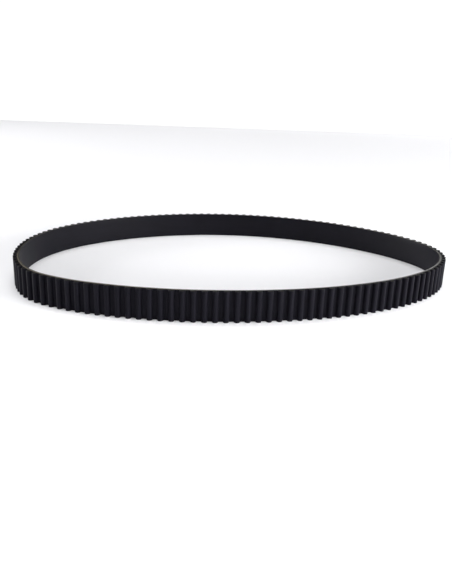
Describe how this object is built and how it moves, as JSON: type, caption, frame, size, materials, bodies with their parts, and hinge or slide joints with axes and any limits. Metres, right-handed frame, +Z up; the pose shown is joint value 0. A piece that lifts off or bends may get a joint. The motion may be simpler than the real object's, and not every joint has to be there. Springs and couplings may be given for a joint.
{
  "type": "timing belt",
  "caption": "Endless rubber timing belt with round-topped teeth turned outwards, a smooth back inside, fibre cords at its pitch line and a fabric facing, standing on its cut edge.",
  "frame": {"origin": "middle of the loop's box on the surface the belt stands on", "axes": "+X along the loop's long way, +Z up across the belt's width, -Y towards the front run of teeth"},
  "size_m": [0.2419, 0.1782, 0.015],
  "materials": {
    "back_rubber": "ground matt back, cut edges a little browner",
    "tooth_rubber": "moulded, seen only at the cut edges",
    "facing_fabric": "rubber-treated black nylon weave, slight sheen",
    "glass_cord": "adhesive-dipped glass-fibre strand"
  },
  "bodies": {
    "root": {"backing_rubber": "back_rubber", "tooth_rubber": "tooth_rubber", "tooth_facing": "facing_fabric", "s_twist_cords": "glass_cord", "z_twist_cords": "glass_cord"}
  },
  "joints": []
}
